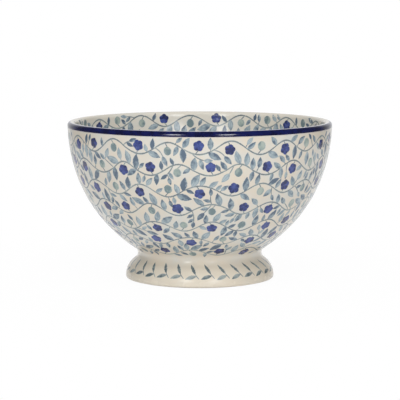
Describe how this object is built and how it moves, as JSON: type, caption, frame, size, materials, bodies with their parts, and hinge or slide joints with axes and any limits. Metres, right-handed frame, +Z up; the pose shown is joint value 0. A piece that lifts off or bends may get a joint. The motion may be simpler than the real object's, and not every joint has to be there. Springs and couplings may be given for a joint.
{
  "type": "footed bowl",
  "caption": "Glazed stoneware bowl on a flared hollow pedestal foot, with a coloured rim band, for serving or eating from on a table.",
  "frame": {"origin": "middle of the standing ring under the foot, on the table", "axes": "+Z up along the bowl's axis of turning; X and Y are alike, because the bowl is round"},
  "size_m": [0.16, 0.16, 0.0957],
  "materials": {
    "stoneware": "bare fired clay, matt",
    "slip": "fired clay slip, matt",
    "glaze": "glossy clear glaze over a cream ground",
    "cobalt_glaze": "glossy deep blue"
  },
  "bodies": {
    "root": {"bowl_body": "stoneware", "pedestal_foot": "stoneware", "luting_slip": "slip", "outer_glaze": "glaze", "inner_glaze": "glaze", "rim_band": "cobalt_glaze", "foot_well_glaze": "glaze"}
  },
  "joints": []
}
